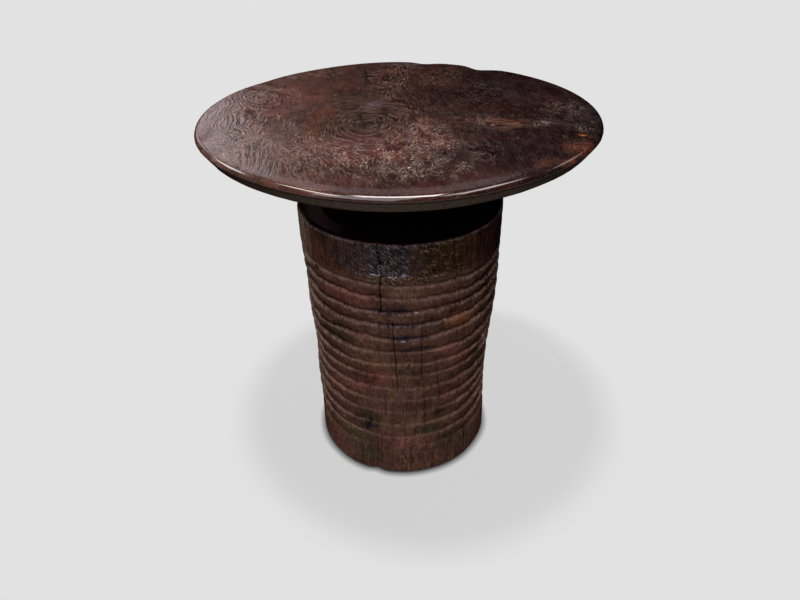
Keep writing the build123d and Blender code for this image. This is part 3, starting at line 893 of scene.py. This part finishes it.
class Look:
    """One procedural material on a Principled shader, with short calls that add and link nodes."""

    def __init__(self, name, **constants):
        self.material = bpy.data.materials.new(name)
        self.material.use_nodes = True
        self.nodes = self.material.node_tree.nodes
        self.links = self.material.node_tree.links
        self.shader = self.nodes["Principled BSDF"]
        self.place = self.add("TexCoord", {})["Object"]
        self.shade(**constants)

    def feed(self, socket, value):
        """Links an output to a socket, or sets a constant on it."""
        if isinstance(value, bpy.types.NodeSocket):
            self.links.new(value, socket)
        else:
            socket.default_value = value

    def add(self, kind, inputs, **settings):
        """Adds a node with its settings, feeds its inputs, and returns its outputs."""
        node = self.nodes.new("ShaderNode" + kind)
        for name, value in settings.items():
            setattr(node, name, value)
        for socket, value in inputs.items():
            self.feed(node.inputs[socket], value)
        return node.outputs

    def shade(self, **values):
        """Feeds the shader's sockets, with _ for each space in a socket's name."""
        for name, value in values.items():
            self.feed(self.shader.inputs[name.replace("_", " ")], value)

    def stretch(self, x, y, z):
        """Object coordinates scaled along each axis."""
        return self.add("Mapping", {"Vector": self.place, "Scale": (x, y, z)})["Vector"]

    def axis(self, name):
        """One of the object's coordinates, in metres."""
        return self.add("SeparateXYZ", {0: self.place})[name]

    def attribute(self, name, output="Fac"):
        """A value stored on the mesh."""
        return self.add("Attribute", {}, attribute_name=name)[output]

    def noise(self, size, vector=None, detail=3.0, rough=0.5, bend=0.0):
        """Noise with features of that many millimetres."""
        inputs = {"Vector": vector or self.place, "Scale": 1 / (size * MM), "Detail": detail}
        return self.add("TexNoise", {**inputs, "Roughness": rough, "Distortion": bend})["Fac"]

    def strands(self, wave, run, width, length, detail=1.0):
        """Noise that follows level lines of wave, that many millimetres wide and long. Wave is in
        millimetres and run, which grows along the lines, in metres."""
        place = self.add("CombineXYZ", {"X": self.mul(wave, MM), "Y": self.mul(run, width / length)})
        return self.noise(width, place["Vector"], detail=detail)

    def math(self, operation, *values):
        """One step of arithmetic."""
        return self.add("Math", dict(enumerate(values)), operation=operation)["Value"]

    def mul(self, first, second):
        """The product of two values."""
        return self.math("MULTIPLY", first, second)

    def mul_add(self, first, second, third):
        """The product of two values, plus a third."""
        return self.math("MULTIPLY_ADD", first, second, third)

    def fit(self, value, start, end, low=0.0, high=1.0):
        """Moves a value from one range to another, smoothly and within its limits."""
        ends = {"From Min": start, "From Max": end, "To Min": low, "To Max": high}
        return self.add("MapRange", {"Value": value, **ends}, interpolation_type="SMOOTHSTEP")["Result"]

    def mix(self, share, first, second, mode="MIX"):
        """Mixes two colours."""
        first, second = ((*value, 1.0) if isinstance(value, tuple) else value for value in (first, second))
        return self.add("Mix", {0: share, 6: first, 7: second}, data_type="RGBA", blend_type=mode)[2]

    def tint(self, colour, share, most, factor):
        """Multiplies a colour, to that share at most, and leaves it alone where share is 0."""
        return self.mix(self.mul(share, most), colour, self.mix(1.0, colour, factor, "MULTIPLY"))

    def two_tone(self, colour, noise, light, dark):
        """Tints a colour where a noise is high and where it is low. Each tone gives the noise at which it
        starts and is full, its share and its factor."""
        for start, end, most, factor in (light, dark):
            colour = self.tint(colour, self.fit(noise, start, end), most, factor)
        return colour

    def ridge(self, value, width):
        """1 where a noise crosses its middle, falling to 0 either side."""
        return self.fit(self.math("ABSOLUTE", self.math("SUBTRACT", value, 0.5)), 0.0, width, 1.0, 0.0)

    def bump(self, height, depth):
        """Surface relief of that many millimetres, under the coat and in it."""
        normal = self.add("Bump", {"Distance": depth * MM, "Height": height})["Normal"]
        self.shade(Normal=normal, Coat_Normal=normal)


# Linear colours of the burl's figure and of its side.
# Pale lines and curls, partly painted glints on the ridges.
PALE_LINE = (0.120, 0.074, 0.058)
PALE_CURL = (0.230, 0.165, 0.140)
# Pale specks: painted glints.
SPECK_GLINT = (0.50, 0.38, 0.34)
DARK_PIT = (0.005, 0.002, 0.002)
# The side's browns are lightened, partly as a painted reflection of the floor.
SIDE_DARK = (0.062, 0.045, 0.034)
SIDE_LIGHT = (0.115, 0.087, 0.069)
SIDE_LEFT = (0.060, 0.026, 0.017)
# A dark line under the crest: painted shade.
CREST_SHADE_LINE = (0.014, 0.006, 0.006)


def grain_lines(look, longer):
    """Pale lines, partly painted glints, dark lines and a broader relief, all along the level lines of the
    grain.
    """
    wave = look.mul_add(look.noise(14, longer), 4.0, look.attribute("grain"))
    wave = look.mul_add(look.noise(3.0, longer, detail=2.0), 1.8, wave)
    run = look.mul_add(look.axis("X"), 0.6, look.axis("Y"))
    fine = look.strands(wave, run, 1.25, 18)
    broad = look.strands(wave, run, 2.6, 34, detail=0.0)
    grain = look.mul_add(fine, 0.86, look.mul(broad, 0.14))
    figure = look.attribute("figure")
    pale = look.mul(look.fit(grain, 0.53, 0.60), figure)
    dark = look.mul(look.fit(grain, 0.48, 0.39), look.mul_add(figure, 0.75, 0.25))
    return pale, dark, look.strands(wave, run, 4.2, 50)


def curly_marks(look, longer, curl):
    """Crinkles, partly painted glints, specks, which are painted glints, and pits, which show mostly in the
    curly wood.
    """
    crinkle = look.ridge(look.noise(3.2, longer, detail=2.0, rough=0.6, bend=0.6), 0.045)
    crinkle = look.mul(crinkle, look.fit(look.noise(11, longer, detail=2.0), 0.43, 0.56))
    speck_glint = look.fit(look.noise(2.0, longer, detail=1.0), 0.67, 0.74)
    speck_glint = look.mul(speck_glint, look.fit(look.noise(16), 0.44, 0.62))
    speck_glint = look.mul(speck_glint, look.mul_add(curl, 0.94, 0.03))
    pit = look.fit(look.noise(2.8, longer, detail=2.0, rough=0.6), 0.40, 0.32)
    return look.mul(crinkle, curl), speck_glint, look.mul(pit, look.mul_add(curl, 0.75, 0.25))


def with_side(look, colour, side, edge):
    """Adds the slab's side: pale fibres, lightened in part as a painted reflection of the floor, a darker
    left, and a dark line of painted shade under the crest.
    """
    fibres = look.noise(5, look.stretch(1, 1, 3.0), detail=4.0, rough=0.65)
    wood = look.mix(look.fit(fibres, 0.30, 0.70), SIDE_DARK, SIDE_LIGHT)
    wood = look.mix(look.fit(look.axis("X"), -0.08, -0.22, 0.0, 0.65), wood, SIDE_LEFT)
    colour = look.mix(look.mul(side, 0.9), colour, wood)
    # A dark line just under the crest: painted shade.
    shade_line = look.mul(look.fit(edge, 0.135, 0.165), look.fit(edge, 0.235, 0.18))
    return look.mix(look.mul(shade_line, 0.75), colour, CREST_SHADE_LINE)


def burl_material():
    """Dark polished burl: thin pale and dark lines along the grain, the pale ones partly painted glints, and
    curly wood with painted glint specks and pits.
    """
    look = Look("tabletop_burl", Specular_IOR_Level=0.0, Coat_Roughness=0.10)
    curl = look.attribute("curl")
    edge = look.attribute("edge")
    side = look.fit(edge, 0.12, 0.17)
    longer = look.stretch(1, 0.5, 1)
    grit = look.noise(1.5, longer, detail=2.0, rough=0.7)
    pale, dark, relief = grain_lines(look, longer)
    crinkle, speck_glint, pit = curly_marks(look, longer, curl)

    colour = look.attribute("base_colour", "Color")
    colour = look.two_tone(
        colour, grit, (0.52, 0.66, 0.35, (2.0, 1.8, 1.8)), (0.48, 0.34, 0.55, (0.35, 0.30, 0.30))
    )
    colour = look.tint(colour, dark, 0.85, (0.20, 0.15, 0.15))
    # Pale lines and crinkles are partly painted glints; the specks are painted glints.
    for share, most, mark in (
        (pale, 0.80, PALE_LINE), (crinkle, 0.85, PALE_CURL), (pit, 0.80, DARK_PIT), (speck_glint, 0.85, SPECK_GLINT)
    ):
        colour = look.mix(look.mul(share, most), colour, mark)
    look.shade(Base_Color=with_side(look, colour, side, edge))

    # The polish is thinner on the dark wood right of the middle, apart from the curly wood and the crest.
    thin = look.mul(look.fit(look.axis("X"), -0.13, -0.03), look.math("SUBTRACT", 1.0, curl))
    thin = look.mul(thin, look.fit(edge, 0.002, 0.010, 1.0, 0.0))
    rough = look.fit(look.noise(30, detail=3.0), 0.3, 0.7, 0.34, 0.5)
    rough = look.mul_add(side, 0.12, look.mul_add(pit, 0.3, rough))
    look.shade(Coat_Weight=look.mul_add(thin, -0.42, 1.0), Roughness=rough)

    # The relief follows the grain, and is strongest where the left of the table shines.
    height = look.mul(relief, look.fit(look.axis("X"), -0.04, -0.17, 0.35, 2.2))
    height = look.mul_add(crinkle, 0.7, look.mul_add(pale, 0.5, height))
    uneven = look.mul_add(curl, 0.45, 0.12)
    height = look.mul_add(look.noise(5, longer, detail=3.0, rough=0.6), uneven, height)
    height = look.mul_add(pit, -0.8, height)
    look.bump(look.mul(height, look.fit(edge, 0.004, 0.020, 1.0, 0.03)), 0.45)
    return look.material


# Linear colours of the log's rubbed edges and painted highlights, the band's crinkles, and painted glints.
RUBBED_LEDGE_AND_HIGHLIGHT = (0.200, 0.135, 0.105)
RUBBED_RIM_AND_HIGHLIGHT = (0.170, 0.165, 0.200)
# Pale crinkle lines, partly painted highlights; the bluish ones stand for the band's sheen.
BLUE_CRINKLE = (0.250, 0.225, 0.235)
OLIVE_CRINKLE = (0.210, 0.150, 0.095)
FOOT_CRINKLE = (0.360, 0.250, 0.160)
GLINT = (0.30, 0.29, 0.42)


def weathered_log(look, fibres, strands, plain, band):
    """The log's colour with blotches, grit, fibres, dark streaks, and rubbed edges lightened as painted
    highlights.
    """
    blotch = look.noise(8, look.stretch(1, 1, 1.3), detail=4.0, rough=0.6)
    grit = look.noise(1.7, look.stretch(1, 1, 0.6), detail=2.0, rough=0.7)
    colour = look.attribute("base_colour", "Color")
    colour = look.two_tone(
        colour, blotch, (0.50, 0.66, 0.50, (1.6, 1.5, 1.45)), (0.50, 0.34, 0.55, (0.50, 0.46, 0.46))
    )
    colour = look.two_tone(
        colour, grit, (0.52, 0.66, 0.40, (1.7, 1.6, 1.6)), (0.48, 0.34, 0.45, (0.45, 0.42, 0.42))
    )
    colour = look.tint(colour, look.mul(look.fit(fibres, 0.52, 0.66), plain), 0.60, (2.1, 2.0, 2.0))
    colour = look.tint(colour, look.mul(look.fit(fibres, 0.48, 0.36), plain), 0.75, (0.30, 0.25, 0.25))
    streaks = look.mul(look.fit(strands, 0.46, 0.36), look.mul_add(band, 0.4, 0.45))
    colour = look.tint(colour, streaks, 1.0, (0.40, 0.36, 0.36))
    # Lightened edges: rubbed wood and a painted highlight, bluish on the rim.
    edges = look.fit(look.noise(5, look.stretch(1, 1, 0.5)), 0.40, 0.62, 0.10, 1.0)
    edges = look.mul(edges, look.attribute("arris"))
    return look.mix(look.mul(edges, 0.70), colour, look.mix(band, RUBBED_LEDGE_AND_HIGHLIGHT, RUBBED_RIM_AND_HIGHLIGHT))


def with_band_patches(look, colour, polish_and_sheen):
    """Adds the polished patches of the rim band: bluish left of the middle, a painted sheen, olive right of
    it and brown under the sill, all crinkled with pale lines that are partly painted highlights. Returns the
    colour and the crinkles."""
    right = look.fit(look.mul_add(look.noise(11), 0.040, look.axis("X")), 0.026, 0.056)
    low = look.fit(look.mul_add(look.noise(9), 0.008, look.axis("Z")), 0.3965, 0.3925)
    patch = look.mix(low, look.mix(right, BAND_BLUE_SHEEN, BAND_OLIVE), BAND_FOOT)
    # The bluish patch is a painted sheen.
    colour = look.mix(look.mul(polish_and_sheen, 0.80), colour, patch)
    slant = look.mul_add(look.axis("Z"), 700.0, look.mul(look.noise(9, detail=2.0), 16.0))
    slant = look.mul_add(look.axis("X"), 800.0, slant)
    wrinkles = look.strands(slant, look.axis("Z"), 1.15, 8.0, detail=2.0)
    shown = look.mul(polish_and_sheen, look.fit(look.noise(11), 0.32, 0.48, 0.30, 1.0))
    crinkle = look.mul(look.fit(wrinkles, 0.53, 0.62), shown)
    pale = look.mix(low, look.mix(right, BLUE_CRINKLE, OLIVE_CRINKLE), FOOT_CRINKLE)
    colour = look.mix(look.mul(crinkle, 0.85), colour, pale)
    crease = look.mul(look.fit(wrinkles, 0.47, 0.40), shown)
    return look.tint(colour, crease, 0.8, (0.25, 0.22, 0.25)), crinkle


def log_material():
    """Dark stained log: upright fibres, painted shade in grooves and checks, worn edges with painted
    highlights, a crinkled rim band with painted sheen and glints.
    """
    look = Look("drum_log", Specular_IOR_Level=0.0, Coat_Roughness=0.24)
    upright = look.stretch(1, 1, 0.09)
    fibres = look.noise(1.9, upright, detail=3.0, rough=0.6)
    strands = look.noise(5, look.stretch(1, 1, 0.06), detail=3.0)
    band = look.attribute("band")
    polish_and_sheen = look.attribute("polish_and_sheen")
    painted_shade = look.attribute("painted_shade")
    foot = look.fit(look.axis("Z"), 0.085, 0.055)
    plain = look.mul_add(look.math("MAXIMUM", band, look.mul(foot, 0.6)), 0.60, 0.40)

    colour = weathered_log(look, fibres, strands, plain, band)
    colour, crinkle = with_band_patches(look, colour, polish_and_sheen)
    # Painted shade darkens the grooves, checks, pits, the rim's top and the mouth.
    colour = look.tint(colour, look.fit(painted_shade, 0.10, 0.85), 0.97, (0.10, 0.08, 0.10))
    # Painted glints: bluish-white spots on the ledges and a broken line along the sill.
    broken = look.fit(look.noise(3.2, look.stretch(0.7, 0.7, 2.0)), 0.42, 0.56)
    glint = look.fit(look.mul(look.attribute("glint"), broken), 0.20, 0.80)
    look.shade(Base_Color=look.mix(glint, colour, GLINT), Coat_Weight=look.mul(polish_and_sheen, 0.5))

    rough = look.fit(look.noise(18, upright), 0.3, 0.7, 0.42, 0.62)
    rough = look.mul_add(polish_and_sheen, -0.14, rough)
    look.shade(Roughness=look.mul_add(painted_shade, 0.25, rough))
    height = look.mul_add(fibres, look.mul(plain, 1.2), look.mul(crinkle, 1.4))
    height = look.mul_add(strands, 0.8, height)
    height = look.mul_add(look.noise(4, look.stretch(1, 1, 0.7), detail=4.0), 0.6, height)
    look.bump(height, 0.7)
    return look.material


def stain_and_shade_material(name, dark, light, rough):
    """Stained board or block: faint long grain under dark staining, and painted shade that takes it near
    black towards the right.
    """
    look = Look(name, Specular_IOR_Level=0.0)
    grain = look.noise(3.5, look.stretch(0.08, 1, 1), detail=4.0, rough=0.6)
    # Painted shade: near black towards the right, lighter only at the far left where light falls in.
    shaded = look.fit(look.axis("X"), -0.125, -0.065, 0.0, 0.93)
    colour = look.mix(look.fit(grain, 0.35, 0.65), dark, light)
    look.shade(Base_Color=look.mix(shaded, colour, (0.001, 0.0008, 0.0008)))
    look.shade(Roughness=look.fit(look.noise(24), 0.3, 0.7, rough - 0.08, rough + 0.1))
    look.bump(grain, 0.25)
    return look.material


def metal_material(name, dull, bright, rough):
    """Plated or turned metal: fine brushing, and darker blotches from handling."""
    look = Look(name, Metallic=1.0)
    brushed = look.noise(0.9, look.stretch(1, 1, 6), detail=3.0)
    colour = look.mix(look.fit(look.noise(6, detail=3.0), 0.35, 0.65), dull, bright)
    look.shade(Base_Color=look.mix(look.mul(look.fit(brushed, 0.4, 0.7), 0.25), colour, bright))
    look.shade(Roughness=look.fit(brushed, 0.3, 0.7, rough - 0.06, rough + 0.1))
    look.bump(brushed, 0.05)
    return look.material


def felt_material():
    """Pressed felt: a matt mat of short fibres."""
    look = Look("glide_felt", Roughness=0.95, Sheen_Weight=0.4, Specular_IOR_Level=0.2)
    mat = look.noise(0.7, detail=4.0, rough=0.7, bend=1.0)
    look.shade(Base_Color=look.mix(look.fit(mat, 0.35, 0.65), (0.035, 0.030, 0.027), (0.090, 0.080, 0.072)))
    look.bump(mat, 0.4)
    return look.material


def dress_node(name, material):
    """Gives a CAD node that keeps its shape its finish."""
    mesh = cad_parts[name].data
    mesh.materials.clear()
    mesh.materials.append(material)


# ---------------------------------------------------------------- stage, light and camera
# The studio is in metres. Its floor gets light from the ceiling alone, and glows to make up the rest.

CAMERA_PLACE = (-0.0024, -0.9164, 0.8531)
CAMERA_PITCH = 33.23
CAMERA_ROLL = 0.98
CAMERA_LENS = 29.7
FLOOR_HALF = 12
WALL_HALF = 12.1
WALL_FOOT = -1
WALL_HEIGHT = 9
FLOOR_ALBEDO = 0.185
FLOOR_LIT = 0.130
FLOOR_LEVEL = 0.755
CONTACT_REACH = 0.012
CEILING = (-0.20, -0.22, 3.10)


def studio_material():
    """A matt pale surface. Its own glow makes up for what the ceiling light loses with distance, and is
    dimmed right beside what stands on it."""
    albedo = (FLOOR_ALBEDO, FLOOR_ALBEDO, FLOOR_ALBEDO, 1)
    look = Look("studio_floor", Base_Color=albedo, Roughness=1.0, Specular_IOR_Level=0.0)
    look.shade(Emission_Color=(1.0, 1.0, 1.0, 1))
    under = (CEILING[0], CEILING[1], 0)
    away = look.add("VectorMath", {0: look.place, 1: under}, operation="DISTANCE")["Value"]
    slope = look.math("POWER", look.math("DIVIDE", away, CEILING[2]), 2.0)
    lit = look.math("POWER", look.math("ADD", slope, 1.0), -2.0)
    glow = look.mul_add(lit, -FLOOR_LIT, FLOOR_LEVEL)
    # The glow is dimmed beside what stands on the floor: a painted contact shadow.
    contact = look.add("AmbientOcclusion", {"Distance": CONTACT_REACH})["AO"]
    look.shade(Emission_Strength=look.mul(look.math("POWER", contact, 2.0), glow))
    return look.material


def make_stage(name, corners, faces, material):
    """A part of the studio that the camera sees and that sends no light to the table."""
    mesh = bpy.data.meshes.new(name)
    mesh.from_pydata(corners, [], faces)
    mesh.materials.append(material)
    part = bpy.data.objects.new(name, mesh)
    bpy.context.scene.collection.objects.link(part)
    part.visible_glossy = False
    part.visible_diffuse = False
    return part


def make_studio():
    """The pale floor and, past it on all four sides, pale walls for low views to end in."""
    material = studio_material()
    ring = ((-1, -1), (1, -1), (1, 1), (-1, 1))
    flat = [(x * FLOOR_HALF, y * FLOOR_HALF, 0) for x, y in ring]
    floor = make_stage("studio_floor", flat, [(0, 1, 2, 3)], material)
    upright = [(x * WALL_HALF, y * WALL_HALF, z) for z in (WALL_FOOT, WALL_HEIGHT) for x, y in ring]
    sides = [(i, (i + 1) % 4, (i + 1) % 4 + 4, i + 4) for i in range(4)]
    walls = make_stage("studio_walls", upright, sides, material)
    walls.visible_shadow = False
    return floor, walls


def make_softbox(name, place, target, width, height, power, colour, mirrored=True):
    """A rectangular light that faces a point, and that glossy surfaces may mirror."""
    light = bpy.data.lights.new(name, "AREA")
    light.shape = "RECTANGLE"
    light.size = width
    light.size_y = height
    light.energy = power
    light.color = colour
    box = bpy.data.objects.new(name, light)
    box.location = place
    box.rotation_euler = (Vector(target) - Vector(place)).to_track_quat("-Z", "Y").to_euler()
    box.visible_camera = False
    box.visible_glossy = mirrored
    bpy.context.scene.collection.objects.link(box)
    return box


def keep_to(studio, boxes, link_state):
    """Lets these lights fall on the studio alone (INCLUDE) or on everything else (EXCLUDE)."""
    group = bpy.data.collections.new("studio_" + link_state.lower())
    for part in studio:
        group.objects.link(part)
    for member in group.collection_objects:
        member.light_linking.link_state = link_state
    for box in boxes:
        box.light_linking.receiver_collection = group


def make_world(low, high, strength):
    """Dim light from all round: one colour near the horizon and another overhead."""
    world = bpy.data.worlds.new("studio")
    world.use_nodes = True
    nodes = world.node_tree.nodes
    links = world.node_tree.links
    split = nodes.new("ShaderNodeSeparateXYZ")
    links.new(nodes.new("ShaderNodeTexCoord").outputs["Generated"], split.inputs[0])
    ramp = nodes.new("ShaderNodeValToRGB")
    ramp.color_ramp.elements[0].position = 0.15
    ramp.color_ramp.elements[0].color = (*low, 1)
    ramp.color_ramp.elements[1].position = 0.75
    ramp.color_ramp.elements[1].color = (*high, 1)
    links.new(split.outputs["Z"], ramp.inputs[0])
    background = nodes["Background"]
    links.new(ramp.outputs[0], background.inputs["Color"])
    background.inputs["Strength"].default_value = strength
    bpy.context.scene.world = world


def make_camera():
    """The photograph's view: a camera a little over the table's height, looking down at it."""
    data = bpy.data.cameras.new("camera")
    data.sensor_width = 36
    data.lens = CAMERA_LENS
    data.clip_end = 50
    camera = bpy.data.objects.new("camera", data)
    pitch = Matrix.Rotation(math.radians(90 - CAMERA_PITCH), 4, "X")
    roll = Matrix.Rotation(math.radians(-CAMERA_ROLL), 4, "Z")
    camera.matrix_world = Matrix.Translation(Vector(CAMERA_PLACE)) @ pitch @ roll
    bpy.context.scene.collection.objects.link(camera)
    bpy.context.scene.camera = camera


# The soft boxes of the table: name, place, target, width, height, power, colour, and False where the
# polish doesn't mirror it.
TABLE_LIGHTS = (
    ("over", (0.0, -0.36, 1.9), (0.0, -0.30, 0.57), 0.80, 0.54, 32, (1.0, 0.95, 0.89)),
    ("over_left", (-0.90, -0.32, 1.9), (-0.15, -0.25, 0.57), 1.2, 0.18, 12, (1.0, 0.92, 0.84)),
    ("over_right", (0.86, -0.38, 1.9), (0.15, -0.25, 0.57), 1.3, 0.40, 14, (1.0, 0.97, 0.94)),
    ("key", (-0.75, -1.55, 2.25), (0.0, 0.0, 0.25), 2.0, 2.0, 47, (0.97, 0.96, 1.0)),
    ("right_fill", (0.45, -2.1, 1.3), (0.0, 0.0, 0.2), 1.0, 1.0, 20, (1.0, 0.96, 0.93), False),
    ("low_fill", (-0.9, -2.4, 0.75), (0.0, 0.0, 0.22), 1.2, 0.8, 9, (1.0, 0.96, 0.92), False),
    ("back_left", (-1.35, 2.1, 1.35), (-0.1, 0.0, 0.56), 1.2, 1.0, 4.2, (0.96, 0.91, 1.0)),
    ("back_high", (-0.10, 2.0, 2.30), (0.0, 0.0, 0.56), 1.7, 1.2, 4.2, (0.97, 0.94, 1.0)),
    ("back_low", (0.0, 2.6, 0.28), (0.0, 0.0, 0.22), 2.2, 0.4, 20, (1.0, 0.97, 0.95), False),
    ("left_high", (-1.9, 1.0, 1.95), (0.0, 0.0, 0.56), 0.8, 0.5, 10, (1.0, 0.96, 0.93)),
    ("right_high", (1.9, 1.0, 1.95), (0.0, 0.0, 0.56), 0.8, 0.5, 2.5, (1.0, 0.97, 0.95)),
)

make_camera()
studio = make_studio()
make_world((0.05, 0.045, 0.05), (0.80, 0.82, 0.90), 0.06)
ceiling = make_softbox("ceiling", CEILING, (CEILING[0], CEILING[1], 0), 0.3, 0.3, 66, (1.0, 1.0, 1.0))
keep_to(studio, [ceiling], "INCLUDE")
keep_to(studio, [make_softbox(*light) for light in TABLE_LIGHTS], "EXCLUDE")

make_drum(log_material())
make_slab(burl_material())

# The neck block is near black: painted shade under the tabletop.
neck_stain = stain_and_shade_material("neck_stain", (0.002, 0.0015, 0.0015), (0.005, 0.004, 0.004), 0.75)
dress_node("neck_block", neck_stain)
# The board's colours with the painted shade stand for light falling in at the left and shade elsewhere.
board_stain = stain_and_shade_material("board_stain", (0.034, 0.019, 0.022), (0.046, 0.026, 0.030), 0.6)
dress_node("mouth_board", board_stain)
dress_node("screw_plugs", board_stain)
zinc = metal_material("zinc_steel", (0.36, 0.37, 0.38), (0.62, 0.63, 0.64), 0.34)
for fastener in ("board_screws", "neck_screws", "tabletop_bolts", "bolt_washers"):
    dress_node(fastener, zinc)
dress_node("threaded_inserts", metal_material("insert_brass", (0.52, 0.36, 0.14), (0.78, 0.60, 0.28), 0.30))
dress_node("felt_glides", felt_material())

scene = bpy.context.scene
scene.view_settings.view_transform = "Standard"
scene.view_settings.look = "None"
scene.view_settings.exposure = 0
scene.view_settings.gamma = 1
